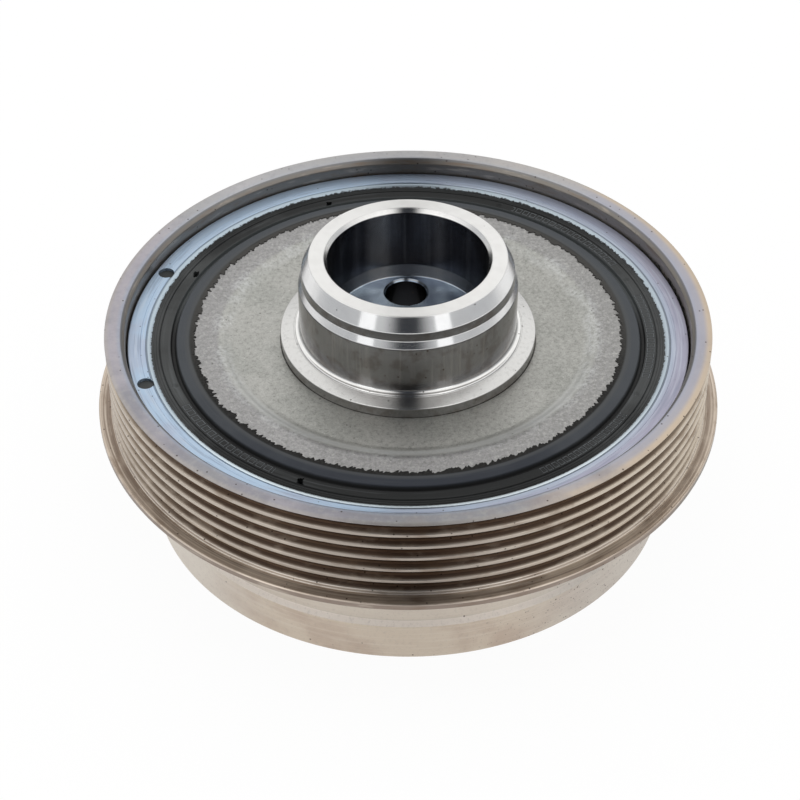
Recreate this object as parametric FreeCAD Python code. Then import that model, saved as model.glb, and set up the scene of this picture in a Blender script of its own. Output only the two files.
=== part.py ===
import FreeCAD, Part
import math
import os

# Crankshaft torsional vibration damper with a decoupled ribbed belt pulley.
# The origin is at the centre of the front face, on the crankshaft axis, and +Z
# points at the engine. Every piece is turned about +Z. Sizes are in millimetres.

# Radial sizes, from the crankshaft bore outwards
bore_radius = 19.7
bore_mouth_width = 0.9
nose_wall = 7.3
neck_step = 0.9
lead_in_width = 1.9
flange_width = 4.8
seat_width = 6.2
shoulder_width = 4.5
hub_rim_wall = 5.0
hub_rim_taper = 1.0
damper_rubber_thickness = 3.5
damper_arch = 1.3
inertia_section = 19.4
skirt_step = 1.1
running_clearance = 0.05
bush_thickness = 2.5
collar_gap = 0.8
press_step = 1.8
mouth_gap = 0.45
rim_wall = 4.9
lip_width = 3.34

# Axial sizes, from the front face towards the engine
hub_rim_setback = 4.0
skirt_height = 10.4
skirt_chamfer_height = 1.2
damper_rubber_bottom = 6.5
damper_rubber_setback = 4.8
damper_meniscus = 1.3
inertia_height = 36.3
stack_gap = 2.0
collar_thickness = 1.5
bush_length = 7.4
bush_setback = 1.0
lip_thickness = 1.8
shoulder_offset = 2.2
first_groove_offset = 1.7
ring_recess = 4.2
ring_press_length = 5.2
flange_stand = 3.8
flange_fall = 1.25
nose_length = 20.65
bore_depth = 20.0
hub_web = 10.5
hub_shoulder_drop = 4.5

# Ribbed belt track
rib_count = 6
rib_pitch = 3.56
rib_crest_width = 0.9
groove_angle = 40.0
crest_round = 0.25
root_round = 0.35

# Nose of the hub, which seats on the crankshaft and runs in the oil seal
bore_mouth_length = 1.2
bore_relief_length = 3.1
bore_relief_width = 1.1
lead_in_length = 3.55
neck_length = 2.35
neck_chamfer_length = 1.85
nose_root_round = 0.8

# Bolts that clamp the hub to the crankshaft
bolt_count = 4
bolt_circle = 24.0
bolt_hole = 10.5
bolt_hole_chamfer = 0.5
bolt_first_angle = 92.0
bolt_head_room = 9.0
bolt_pocket_depth = 5.45
bolt_pocket_taper = 1.0

# Stamped plate that carries the decoupler's rubber
plate_thickness = 2.5
plate_step = 1.75
plate_flat_width = 6.0
plate_step_width = 3.0
plate_bend = 1.0

# Rubber of the decoupler
decoupler_rubber_width = 7.1
skin_thickness = 0.2
skin_overlap = 2.8
ridge_overhang = 0.8
valley_width = 0.7
valley_depth = 1.1
band_drop = 0.4
band_width = 3.4
lip_groove_width = 0.45
lip_groove_depth = 0.4
lip_drop = 0.55
rubber_floor_rise = 1.0
rubber_arch = 2.7
station_count = 8
station_first_angle = 20.5
notched_stations = (2, 3, 5)
dimpled_stations = (0, 1, 4, 7)
notch_width = 1.4
notch_length = 3.0
notch_depth = 1.2
dimple_diameter = 1.6
dimple_depth = 0.3

# Stamped ring pressed into the pulley
ring_face_width = 5.65
ring_thickness = 1.6
ring_bend = 0.4
ring_edge_round = 0.25
ring_hole = 4.1
ring_hole_inset = 2.85
ring_hole_count = 2
ring_hole_spacing_angle = 39.2
ring_hole_centre_angle = 178.5

# Mouth of the pulley
mouth_bevel_length = 1.3
rim_land_width = 3.9

# Small rounds and broken edges
edge_break = 0.4
rim_round = 0.3
cast_round = 3.0
arch_round = 20.0
full_turn = 360.0

# Radii that follow from the sizes above
seal_radius = bore_radius + nose_wall
neck_radius = seal_radius - neck_step
nose_face_radius = neck_radius - lead_in_width
flange_radius = seal_radius + flange_width
seat_radius = flange_radius + seat_width
hub_rim_radius = seat_radius + shoulder_width
inertia_bore = hub_rim_radius + damper_rubber_thickness
guide_radius = inertia_bore + inertia_section
skirt_radius = guide_radius + skirt_step
bush_bore = guide_radius + running_clearance
bush_radius = bush_bore + bush_thickness
collar_radius = guide_radius + collar_gap
press_radius = bush_radius + press_step
mouth_radius = press_radius + mouth_gap
crest_radius = mouth_radius + rim_wall
lip_radius = crest_radius + lip_width
ring_inner_radius = press_radius - ring_face_width
ring_sleeve_bore = press_radius - ring_thickness
plate_rim_radius = ring_inner_radius - decoupler_rubber_width

# Heights that follow from the sizes above
collar_top = inertia_height + stack_gap
collar_bottom = collar_top - collar_thickness
bush_bottom = collar_bottom - bush_length
pulley_base = bush_bottom - bush_setback
lip_top = pulley_base + lip_thickness
first_groove = lip_top + shoulder_offset + (rib_count - 1) * rib_pitch
rim_top = first_groove + first_groove_offset
ring_top = rim_top - ring_recess
plate_top = ring_top
plate_flat_top = plate_top - plate_step
hub_seat = plate_flat_top - plate_thickness
flange_top = plate_flat_top + flange_stand
nose_top = flange_top + nose_length
bore_floor = nose_top - bore_depth
web_underside = hub_seat - hub_web
bolt_seat = web_underside + bolt_pocket_depth
damper_rubber_top = inertia_height - damper_rubber_setback


def at(radius, height):
    return FreeCAD.Vector(radius, 0, height)


# A corner is a radius, a height and, if it is rounded, the round's own radius.
# A round never takes more than its share of the two edges that meet there.
def rounded_corner(before, corner, after):
    tip = at(corner[0], corner[1])
    wanted = corner[2] if len(corner) > 2 else 0
    if wanted == 0:
        return tip, None, tip
    back = at(before[0], before[1]).sub(tip)
    ahead = at(after[0], after[1]).sub(tip)
    half_angle = back.getAngle(ahead) / 2
    edge_share = 0.45
    reach = min(wanted / math.tan(half_angle), edge_share * min(back.Length, ahead.Length))
    radius = reach * math.tan(half_angle)
    back.normalize()
    ahead.normalize()
    inwards = back.add(ahead).normalize()
    middle = tip.add(inwards.multiply(radius / math.sin(half_angle) - radius))
    start = tip.add(back.multiply(reach))
    end = tip.add(ahead.multiply(reach))
    return start, middle, end


# Turns a closed outline of corners about the crankshaft axis.
def turned(corners):
    shortest_edge = 1e-6
    count = len(corners)
    rounds = []
    for i in range(count):
        rounds.append(rounded_corner(corners[i - 1], corners[i], corners[(i + 1) % count]))
    edges = []
    for i in range(count):
        start, middle, end = rounds[i]
        if middle is not None:
            edges.append(Part.Arc(start, middle, end).toShape())
        following = rounds[(i + 1) % count][0]
        if following.sub(end).Length > shortest_edge:
            edges.append(Part.LineSegment(end, following).toShape())
    face = Part.Face(Part.Wire(edges))
    solid = face.revolve(FreeCAD.Vector(0, 0, 0), FreeCAD.Vector(0, 0, 1), full_turn)
    if solid.Volume < 0:
        solid.reverse()
    return solid


def polar(radius, degrees, height):
    angle = math.radians(degrees)
    return FreeCAD.Vector(radius * math.cos(angle), radius * math.sin(angle), height)


def save(shape, node):
    shape.exportStep("parts/" + node + ".step")


# The bonded rubber's two faces run in the same shallow arch, which locks the
# inertia ring along the axis. The corners are listed from the top down.
def damper_arch_corners(radius):
    middle = (damper_rubber_top + damper_rubber_bottom) / 2
    arch_share = 0.36
    reach = arch_share * (damper_rubber_top - damper_rubber_bottom)
    return [
        (radius, middle + reach, arch_round),
        (radius + damper_arch, middle, arch_round),
        (radius, middle - reach, arch_round),
    ]


# Chamfered bolt holes between the bore's floor and the pocket for the heads.
def bolt_hole_tools():
    tools = []
    hole_radius = bolt_hole / 2
    for i in range(bolt_count):
        angle = bolt_first_angle + i * full_turn / bolt_count
        foot = polar(bolt_circle / 2, angle, bolt_seat)
        depth = bore_floor - bolt_seat
        hole = Part.makeCylinder(hole_radius, depth, foot)
        mouth_foot = polar(bolt_circle / 2, angle, bore_floor - bolt_hole_chamfer)
        mouth_radius_top = hole_radius + bolt_hole_chamfer
        mouth = Part.makeCone(hole_radius, mouth_radius_top, bolt_hole_chamfer, mouth_foot)
        tools.append(hole.fuse(mouth))
    return tools


# One forging: nose, flange, web and a rim that opens towards the front.
def make_hub():
    bore_mouth_radius = bore_radius + bore_mouth_width
    floor_radius = bore_radius - bore_relief_width
    pocket_radius = bolt_circle / 2 + bolt_head_room
    rim_bore = hub_rim_radius - hub_rim_wall
    corners = [
        (0, bore_floor),
        (floor_radius, bore_floor, edge_break),
        (bore_radius, bore_floor + bore_relief_length),
        (bore_radius, nose_top - bore_mouth_length),
        (bore_mouth_radius, nose_top),
        (nose_face_radius, nose_top),
        (neck_radius, nose_top - lead_in_length),
        (neck_radius, nose_top - lead_in_length - neck_length),
        (seal_radius, nose_top - lead_in_length - neck_length - neck_chamfer_length),
        (seal_radius, flange_top, nose_root_round),
        (flange_radius, flange_top - flange_fall, rim_round),
        (flange_radius, hub_seat),
        (seat_radius, hub_seat),
        (hub_rim_radius, hub_seat - hub_shoulder_drop, cast_round),
    ]
    corners += damper_arch_corners(hub_rim_radius)
    corners += [
        (hub_rim_radius, hub_rim_setback + edge_break),
        (hub_rim_radius - edge_break, hub_rim_setback),
        (rim_bore, hub_rim_setback, edge_break),
        (rim_bore - hub_rim_taper, web_underside, cast_round),
        (pocket_radius + bolt_pocket_taper, web_underside, edge_break),
        (pocket_radius, bolt_seat, edge_break),
        (0, bolt_seat),
    ]
    hub = turned(corners)
    for tool in bolt_hole_tools():
        hub = hub.cut(tool)
    return hub


# Pressed over the hub's flange, stepped up, and turned down at its rim.
def make_decoupler_plate():
    step_start = seat_radius + plate_flat_width
    step_end = step_start + plate_step_width
    plate_underside = plate_top - plate_thickness
    rim_bore = plate_rim_radius - plate_thickness
    outer_bend = plate_bend + plate_thickness
    step_round = plate_bend + plate_thickness
    return turned([
        (flange_radius, plate_flat_top),
        (step_start, plate_flat_top, step_round),
        (step_end, plate_top, step_round),
        (plate_rim_radius, plate_top, outer_bend),
        (plate_rim_radius, collar_top),
        (rim_bore, collar_top),
        (rim_bore, plate_underside, plate_bend),
        (step_end, plate_underside, step_round),
        (step_start, hub_seat, step_round),
        (flange_radius, hub_seat),
    ])


# Drawn ring with a flat face on top and a sleeve that is pressed into the pulley.
def make_decoupler_ring():
    outer_bend = ring_bend + ring_thickness
    ring = turned([
        (ring_inner_radius, ring_top, ring_edge_round),
        (press_radius, ring_top, ring_edge_round),
        (press_radius, collar_top),
        (ring_sleeve_bore, collar_top),
        (ring_sleeve_bore, ring_top - ring_thickness, outer_bend),
        (ring_inner_radius, ring_top - ring_thickness),
    ])
    for i in range(ring_hole_count):
        steps_from_centre = i - (ring_hole_count - 1) / 2
        angle = ring_hole_centre_angle + steps_from_centre * ring_hole_spacing_angle
        foot = polar(press_radius - ring_hole_inset, angle, ring_top - ring_thickness)
        ring = ring.cut(Part.makeCylinder(ring_hole / 2, ring_thickness, foot))
    return ring


# Notches and dimples that the mould leaves in the rubber's marking band.
def station_tools(band_radius, band_height):
    tools = []
    for i in range(station_count):
        angle = station_first_angle + i * full_turn / station_count
        if i in notched_stations:
            corner = FreeCAD.Vector(-notch_length / 2, -notch_width / 2, 0)
            notch = Part.makeBox(notch_length, notch_width, 2 * notch_depth, corner)
            notch.rotate(FreeCAD.Vector(0, 0, 0), FreeCAD.Vector(0, 0, 1), angle)
            notch.translate(polar(band_radius, angle, band_height - notch_depth))
            tools.append(notch)
        if i in dimpled_stations:
            foot = polar(band_radius, angle, band_height - dimple_depth)
            tools.append(Part.makeCylinder(dimple_diameter / 2, 2 * dimple_depth, foot))
    return tools


# Bonded to the plate's rim, to the ring's inner edge and to its sleeve. The blank
# reaches to the middle of both sheets, so cutting them away leaves the bond faces.
def make_decoupler_rubber(plate, ring):
    plate_middle_radius = plate_rim_radius - plate_thickness / 2
    plate_middle_height = plate_top - plate_thickness / 2
    ring_middle_height = ring_top - ring_thickness / 2
    sleeve_middle_radius = press_radius - ring_thickness / 2
    floor = collar_top + rubber_floor_rise
    skin_top = plate_top + skin_thickness
    ridge_end = plate_rim_radius + ridge_overhang
    valley_middle = ridge_end + valley_width / 2
    band_start = ridge_end + valley_width
    band_end = band_start + band_width
    band_top = plate_top - band_drop
    lip_groove_middle = band_end + lip_groove_width / 2
    lip_start = band_end + lip_groove_width
    arch_middle = (plate_middle_radius + sleeve_middle_radius) / 2
    arch_top_round = 2 * rubber_arch
    rubber = turned([
        (plate_middle_radius, floor),
        (plate_middle_radius, plate_middle_height, plate_bend),
        (plate_rim_radius - skin_overlap, plate_middle_height),
        (plate_rim_radius - skin_overlap, skin_top, skin_thickness),
        (ridge_end, skin_top, rim_round),
        (valley_middle, plate_top - valley_depth, skin_thickness),
        (band_start, band_top, skin_thickness),
        (band_end, band_top),
        (lip_groove_middle, band_top - lip_groove_depth),
        (lip_start, band_top),
        (ring_inner_radius, ring_top - lip_drop),
        (ring_inner_radius, ring_middle_height),
        (sleeve_middle_radius, ring_middle_height),
        (sleeve_middle_radius, floor),
        (arch_middle, floor + rubber_arch, arch_top_round),
    ])
    rubber = rubber.cut(plate).cut(ring)
    band_middle = (band_start + band_end) / 2
    for tool in station_tools(band_middle, band_top):
        rubber = rubber.cut(tool)
    return rubber


# Straight flanks meet at a rounded root, and each crest has rounded edges.
def belt_track_corners():
    half_opening = (rib_pitch - rib_crest_width) / 2
    apex_radius = crest_radius - half_opening / math.tan(math.radians(groove_angle / 2))
    corners = []
    for i in range(rib_count):
        centre = first_groove - i * rib_pitch
        corners.append((crest_radius, centre + half_opening, crest_round))
        corners.append((apex_radius, centre, root_round))
        corners.append((crest_radius, centre - half_opening, crest_round))
    return corners


# The belt track outside, and inside the seats of the ring and of the guide bush.
def make_pulley():
    land_radius = crest_radius - rim_land_width
    press_top = collar_top + ring_press_length
    corners = [
        (mouth_radius, rim_top - mouth_bevel_length, rim_round),
        (land_radius, rim_top, rim_round),
        (crest_radius, rim_top, rim_round),
    ]
    corners += belt_track_corners()
    corners += [
        (crest_radius, lip_top),
        (lip_radius, lip_top, rim_round),
        (lip_radius, pulley_base, edge_break),
        (bush_radius, pulley_base, rim_round),
        (bush_radius, collar_bottom),
        (collar_radius, collar_bottom),
        (collar_radius, collar_top),
        (press_radius, collar_top),
        (press_radius, press_top),
        (mouth_radius, press_top + mouth_gap),
    ]
    return turned(corners)


# Plain bearing on which the pulley turns a few degrees about the inertia ring.
def make_guide_bush():
    return turned([
        (bush_bore, bush_bottom, rim_round),
        (bush_bore, collar_bottom, rim_round),
        (bush_radius, collar_bottom),
        (bush_radius, bush_bottom, rim_round),
    ])


def make_damper_rubber():
    half = damper_rubber_thickness / 2
    corners = [
        (hub_rim_radius, damper_rubber_top),
        (hub_rim_radius + half, damper_rubber_top - damper_meniscus, damper_meniscus),
        (inertia_bore, damper_rubber_top),
    ]
    corners += damper_arch_corners(inertia_bore)
    corners += [
        (inertia_bore, damper_rubber_bottom),
        (inertia_bore - half, damper_rubber_bottom + damper_meniscus, damper_meniscus),
        (hub_rim_radius, damper_rubber_bottom),
    ]
    corners += reversed(damper_arch_corners(hub_rim_radius))
    return turned(corners)


# Cast iron ring: the upper band guides the pulley and the skirt stands proud of it.
def make_inertia_ring():
    corners = [
        (inertia_bore, inertia_height, edge_break),
        (guide_radius, inertia_height, edge_break),
        (guide_radius, skirt_height + skirt_chamfer_height),
        (skirt_radius, skirt_height),
        (skirt_radius, 0, edge_break),
        (inertia_bore, 0, edge_break),
    ]
    corners += reversed(damper_arch_corners(inertia_bore))
    return turned(corners)


def main():
    os.makedirs("parts", exist_ok=True)
    plate = make_decoupler_plate()
    ring = make_decoupler_ring()
    save(make_hub(), "hub")
    save(plate, "decoupler_plate")
    save(ring, "decoupler_ring")
    save(make_decoupler_rubber(plate, ring), "decoupler_rubber")
    save(make_pulley(), "pulley")
    save(make_guide_bush(), "guide_bush")
    save(make_damper_rubber(), "damper_rubber")
    save(make_inertia_ring(), "inertia_ring")


main()
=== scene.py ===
import bmesh
import bpy
import math
from mathutils import Matrix, Vector, noise


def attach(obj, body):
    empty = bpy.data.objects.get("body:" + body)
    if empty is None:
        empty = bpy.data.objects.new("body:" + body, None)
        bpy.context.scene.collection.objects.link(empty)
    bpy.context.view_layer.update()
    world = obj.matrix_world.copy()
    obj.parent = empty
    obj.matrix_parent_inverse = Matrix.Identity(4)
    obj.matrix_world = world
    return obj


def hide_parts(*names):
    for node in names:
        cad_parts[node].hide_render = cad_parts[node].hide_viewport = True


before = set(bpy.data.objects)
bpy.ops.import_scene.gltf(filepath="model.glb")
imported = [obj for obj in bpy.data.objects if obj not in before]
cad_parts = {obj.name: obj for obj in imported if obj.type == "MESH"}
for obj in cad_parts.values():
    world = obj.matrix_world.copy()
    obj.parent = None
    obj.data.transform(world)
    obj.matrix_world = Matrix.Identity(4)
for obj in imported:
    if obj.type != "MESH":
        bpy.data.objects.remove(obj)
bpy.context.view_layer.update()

mm = 0.001
bodyName = "root"


# Camera, fitted to the photo: its place is in millimetres and its angles are in degrees

cameraSet = {
    "place": (-2.07, -398.18, 360.0),
    "lens": 91.14,
    "film": 36.0,
    "pitch": 49.90,
    "roll": -0.2077,
    "near": 0.01,
    "far": 20.0,
}


def placeCamera():
    data = bpy.data.cameras.new("viewCamera")
    data.lens = cameraSet["lens"]
    data.sensor_width = cameraSet["film"]
    data.clip_start = cameraSet["near"]
    data.clip_end = cameraSet["far"]
    camera = bpy.data.objects.new("viewCamera", data)
    camera.location = Vector(cameraSet["place"]) * mm
    tilt = Matrix.Rotation(math.radians(cameraSet["pitch"]), 4, "X")
    roll = Matrix.Rotation(math.radians(cameraSet["roll"]), 4, "Z")
    camera.rotation_euler = (tilt @ roll).to_euler()
    bpy.context.scene.collection.objects.link(camera)
    bpy.context.scene.camera = camera
    print("camera placed")


placeCamera()


# Small tools for finishes

# a socket that adds Math nodes when it takes part in an expression
class Wire:
    def __init__(self, graph, socket):
        self.graph = graph
        self.socket = socket

    def __add__(self, other):
        return self.graph.maths("ADD", self, other)

    def __radd__(self, other):
        return self.graph.maths("ADD", other, self)

    def __sub__(self, other):
        return self.graph.maths("SUBTRACT", self, other)

    def __rsub__(self, other):
        return self.graph.maths("SUBTRACT", other, self)

    def __mul__(self, other):
        return self.graph.maths("MULTIPLY", self, other)

    def __rmul__(self, other):
        return self.graph.maths("MULTIPLY", other, self)

    def __truediv__(self, other):
        return self.graph.maths("DIVIDE", self, other)

    def __pow__(self, other):
        return self.graph.maths("POWER", self, other)

    def __abs__(self):
        return self.graph.maths("ABSOLUTE", self)


# a tree of nodes
class Graph:
    def __init__(self, tree):
        self.tree = tree
        self.tree.nodes.clear()

    def node(self, kind, settings=None, sockets=None, output=0):
        made = self.tree.nodes.new(kind)
        for name, value in (settings or {}).items():
            if name == "stops":
                setStops(made.color_ramp, value)
            else:
                setattr(made, name, value)
        for name, value in (sockets or {}).items():
            if isinstance(value, Wire):
                self.tree.links.new(value.socket, made.inputs[name])
            else:
                made.inputs[name].default_value = value
        return None if output is None else Wire(self, made.outputs[output])

    def maths(self, operation, *values):
        return self.node("ShaderNodeMath", {"operation": operation}, dict(enumerate(values)))

    def vector(self, operation, *values, **named):
        sockets = dict(enumerate(values))
        sockets.update(named)
        return self.node("ShaderNodeVectorMath", {"operation": operation}, sockets)

    def split(self, value):
        first = self.node("ShaderNodeSeparateXYZ", {}, {0: value})
        return [Wire(self, output) for output in first.socket.node.outputs]

    # a smooth step: 0 at the first end and 1 at the second, whichever of them is higher
    def rise(self, value, start, end):
        ends = {"Value": value, "From Min": start, "From Max": end}
        return self.node("ShaderNodeMapRange", {"interpolation_type": "SMOOTHSTEP"}, ends)

    def fall(self, value, start, end):
        return 1 - self.rise(value, start, end)

    def band(self, value, low, high, soft):
        return self.rise(value, low - soft, low + soft) * self.fall(value, high - soft, high + soft)

    def maximum(self, first, *others):
        for other in others:
            first = self.maths("MAXIMUM", first, other)
        return first

    def mix(self, amount, first, second):
        sockets = {0: amount, 6: colour(first), 7: colour(second)}
        return self.node("ShaderNodeMix", {"data_type": "RGBA"}, sockets, output=2)


# the nodes of one finish, read in millimetres from the piece's own object coordinates
class Finish(Graph):
    faceSlant = 0.83  # lets one measure grow along every turned face, flat or upright

    def __init__(self, name, shader):
        self.material = bpy.data.materials.new(name)
        self.material.use_nodes = True
        super().__init__(self.material.node_tree)
        self.shader = self.tree.nodes.new("ShaderNodeBsdfPrincipled")
        for socket, value in shader.items():
            self.shader.inputs[socket].default_value = value
        output = self.tree.nodes.new("ShaderNodeOutputMaterial")
        self.tree.links.new(self.shader.outputs[0], output.inputs["Surface"])
        place = self.node("ShaderNodeTexCoord", output="Object")
        self.place = self.vector("SCALE", place, Scale=1 / mm)
        x, y, self.z = self.split(self.place)
        self.radius = (x * x + y * y) ** 0.5
        self.right = x / self.radius  # 1 at the right of the axis and -1 at its left
        self.back = y / self.radius  # 1 behind the axis and -1 in front of it
        self.side = abs(self.right)
        self.angle = self.maths("ARCTAN2", y, x) * (180 / math.pi)
        self.face = self.radius * self.faceSlant + self.z

    # the same place moved aside, so that patterns of one kind don't fall together
    def moved(self, shift):
        return self.vector("ADD", self.place, (shift, -shift, 0.5 * shift))

    def noise(self, scale, detail=2.0, roughness=0.5, shift=0.0, at=None):
        where = at or (self.moved(shift) if shift else self.place)
        sockets = {"Vector": where, "Scale": scale, "Detail": detail, "Roughness": roughness}
        return self.node("ShaderNodeTexNoise", {}, sockets)

    # noise that changes so often round the axis, and with another measure across that
    def ringed(self, often, across, detail, roughness):
        sockets = {0: self.right * often, 1: self.back * often, 2: across}
        at = self.node("ShaderNodeCombineXYZ", {}, sockets)
        return self.noise(1.0, detail, roughness, at=at)

    # rings of fine turning lines, the same all round but for a slow drift
    def turning(self, pitch):
        return self.ringed(0.5, self.face / pitch, 1.0, 0.6)

    # patches that are long round the axis and short across it
    def swept(self, across, along, detail=2.0, shift=0.0):
        return self.ringed(1 / along, self.face / across + shift, detail, 0.55)

    # streaks that stand upright on a wall of that radius
    def upright(self, width, tall, wall, shift=0.0):
        return self.ringed(wall / width, self.z / tall + shift, 3.0, 0.6)

    # round specks, strewn about so far apart and so wide
    def specks(self, apart, width, shift=0.0):
        sockets = {"Vector": self.moved(shift), "Scale": 1 / apart}
        near = self.node("ShaderNodeTexVoronoi", {}, sockets, output="Distance")
        return self.fall(near * apart, 0.3 * width, 0.55 * width)

    # lays a tint over a colour: where it lies, how much of it covers, and the tint
    def coat(self, under, where, share, tint):
        return self.mix(where * share, under, tint)

    def bump(self, height, strength, distance, under=None):
        sockets = {"Height": height, "Strength": strength, "Distance": distance * mm}
        if under is not None:
            sockets["Normal"] = under
        return self.node("ShaderNodeBump", {}, sockets)

    # links the wires to the shader's sockets and gives back the material
    def wear(self, **wires):
        for name, wire in wires.items():
            self.tree.links.new(wire.socket, self.shader.inputs[name.replace("_", " ")])
        return self.material


def setStops(ramp, stops):
    while len(ramp.elements) < len(stops):
        ramp.elements.new(1.0)
    for element, (position, value) in zip(ramp.elements, stops):
        element.position = position
        element.color = colour(value)


def colour(value):
    return value if isinstance(value, Wire) or len(value) == 4 else (*value, 1.0)


# Light and floor

# the tent's light near the floor and higher up, and the dark gap in it; where each one starts and
# ends is measured on a direction of length 1
lightSet = {
    "low": (0.52, 0.53, 0.55),
    "lowBehind": (0.80, 0.80, 0.79),
    "behindFrom": (0.0, 0.9),
    "high": (1.14, 1.13, 1.11),
    "highFrom": (0.28, 0.5),
    "gap": (0.035, 0.038, 0.045),
    "gapWidth": (0.10, 0.46),
    "gapEnd": (0.15, 0.6),
    "gapTaper": (0.35, 0.9, 0.5),
    "seen": (1.0, 1.0, 1.0),
    "floor": (0.9, 0.9, 0.9),
    "floorReach": 4.0,
    "floorGlow": 0.95,
}

# how far round from the front each panel stands and how high above the floor, both in degrees,
# then its distance and size in metres, its level, and whether metal mirrors it
panels = {
    "leftPanel": {
        "turn": -41, "lift": 17, "far": 1.3, "width": 0.36, "height": 0.7,
        "level": 0.61, "glossy": True,
    },
    "rightPanel": {
        "turn": 35, "lift": 17, "far": 1.3, "width": 0.34, "height": 0.7,
        "level": 0.64, "glossy": True,
    },
    "fillPanel": {
        "turn": 180, "lift": 75, "far": 1.6, "width": 1.8, "height": 1.6,
        "level": 0.9, "glossy": False,
    },
}


# a bright tent with a dark gap that runs from the camera over the top
def lightWorld():
    s = lightSet
    world = bpy.data.worlds.new("studio")
    bpy.context.scene.world = world
    world.use_nodes = True
    graph = Graph(world.node_tree)
    toward = graph.vector("NORMALIZE", graph.node("ShaderNodeTexCoord", output="Generated"))
    x, y, z = graph.split(toward)
    notNought = 0.0001
    outward = (x * x + y * y + notNought) ** 0.5
    low = graph.mix(graph.rise(y / outward, *s["behindFrom"]), s["low"], s["lowBehind"])
    sky = graph.mix(graph.rise(z, *s["highFrom"]), low, s["high"])
    first, last, taper = s["gapTaper"]
    across = abs(x) / (1 - graph.rise(z, first, last) * taper)
    gap = graph.fall(across, *s["gapWidth"]) * graph.fall(y, *s["gapEnd"])
    sky = graph.mix(gap, sky, s["gap"])
    sky = graph.mix(graph.node("ShaderNodeLightPath", output="Is Camera Ray"), sky, s["seen"])
    background = graph.node("ShaderNodeBackground", {}, {"Color": sky})
    graph.node("ShaderNodeOutputWorld", {}, {"Surface": background}, output=None)
    print("world lit")


def lightPanels():
    for name, panel in panels.items():
        data = bpy.data.lights.new(name, "AREA")
        data.shape = "RECTANGLE"
        data.size = panel["width"]
        data.size_y = panel["height"]
        data.energy = math.pi * panel["width"] * panel["height"] * panel["level"]
        turn = math.radians(panel["turn"])
        lift = math.radians(panel["lift"])
        outward = math.cos(lift)
        away = Vector((math.sin(turn) * outward, -math.cos(turn) * outward, math.sin(lift)))
        lamp = bpy.data.objects.new(name, data)
        lamp.location = away * panel["far"]
        lamp.rotation_euler = away.to_track_quat("Z", "Y").to_euler()
        lamp.visible_camera = False
        lamp.visible_glossy = panel["glossy"]
        bpy.context.scene.collection.objects.link(lamp)
    print("light set")


# pale cloth that takes the part's shadow, and glows for the camera and in the metal
def layFloor():
    bm = bmesh.new()
    bmesh.ops.create_grid(bm, x_segments=1, y_segments=1, size=lightSet["floorReach"])
    floor = finishedObject("floor", bm)
    material = bpy.data.materials.new("paleFloor")
    material.use_nodes = True
    graph = Graph(material.node_tree)
    camera = graph.node("ShaderNodeLightPath", output="Is Camera Ray")
    glossy = graph.node("ShaderNodeLightPath", output="Is Glossy Ray")
    seen = graph.maximum(camera, glossy) * lightSet["floorGlow"]
    cloth = graph.node("ShaderNodeBsdfDiffuse", {}, {"Color": colour(lightSet["floor"])})
    glow = graph.node("ShaderNodeEmission", {}, {"Strength": 1.0})
    surface = graph.node("ShaderNodeMixShader", {}, {0: seen, 1: cloth, 2: glow})
    graph.node("ShaderNodeOutputMaterial", {}, {"Surface": surface}, output=None)
    dress(floor, material)
    print("floor laid")


# Small tools for shapes

shapeSet = {
    "weld": 0.001,
    "pegSides": 40,
    "sharpAngle": 38,
}


def finishedObject(name, bm):
    mesh = bpy.data.meshes.new(name)
    bm.to_mesh(mesh)
    bm.free()
    piece = bpy.data.objects.new(name, mesh)
    bpy.context.scene.collection.objects.link(piece)
    return piece


def dress(piece, material):
    piece.data.materials.clear()
    piece.data.materials.append(material)


# a corner is a radius, a height and, where it is rounded, how far the round reaches along its edges
def addOutline(bm, corners, closed, segments):
    verts = [bm.verts.new((corner[0] * mm, 0.0, corner[1] * mm)) for corner in corners]
    count = len(verts)
    for i in range(count if closed else count - 1):
        bm.edges.new((verts[i], verts[(i + 1) % count]))
    for vert, corner in zip(verts, corners):
        if len(corner) > 2:
            bmesh.ops.bevel(bm, geom=[vert], offset=corner[2] * mm, offset_type="OFFSET", affect="VERTICES",
                            segments=segments, profile=0.5, material=-1, clamp_overlap=True)


def turnOutline(bm, steps):
    geometry = list(bm.verts) + list(bm.edges)
    bmesh.ops.spin(bm, geom=geometry, cent=(0, 0, 0), axis=(0, 0, 1), dvec=(0, 0, 0), angle=math.tau,
                   steps=steps, use_merge=True, use_duplicate=False)
    bmesh.ops.remove_doubles(bm, verts=list(bm.verts), dist=shapeSet["weld"] * mm)
    bmesh.ops.recalc_face_normals(bm, faces=list(bm.faces))


# a new skin, turned from an outline
def turned(corners, steps, closed=True, segments=4):
    bm = bmesh.new()
    addOutline(bm, corners, closed, segments)
    turnOutline(bm, steps)
    return bm


# keeps what the modifiers make of a mesh, and drops the modifiers
def settle(piece):
    graph = bpy.context.evaluated_depsgraph_get()
    settled = bpy.data.meshes.new_from_object(piece.evaluated_get(graph))
    piece.modifiers.clear()
    old = piece.data
    piece.data = settled
    bpy.data.meshes.remove(old)
    piece.data.name = piece.name


def cutAway(piece, bm):
    cutter = finishedObject("cutter", bm)
    cut = piece.modifiers.new("cut", "BOOLEAN")
    cut.operation = "DIFFERENCE"
    cut.solver = "EXACT"
    cut.object = cutter
    settle(piece)
    bpy.data.meshes.remove(cutter.data)


def addPeg(bm, radius, middle, low, high):
    place = Vector((middle.x, middle.y, (low + high) / 2)) * mm
    bmesh.ops.create_cone(bm, cap_ends=True, cap_tris=False, segments=shapeSet["pegSides"],
                          radius1=radius * mm, radius2=radius * mm, depth=(high - low) * mm,
                          matrix=Matrix.Translation(place))


def polar(radius, degrees, height=0.0):
    angle = math.radians(degrees)
    return Vector((radius * math.cos(angle), radius * math.sin(angle), height))


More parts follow.
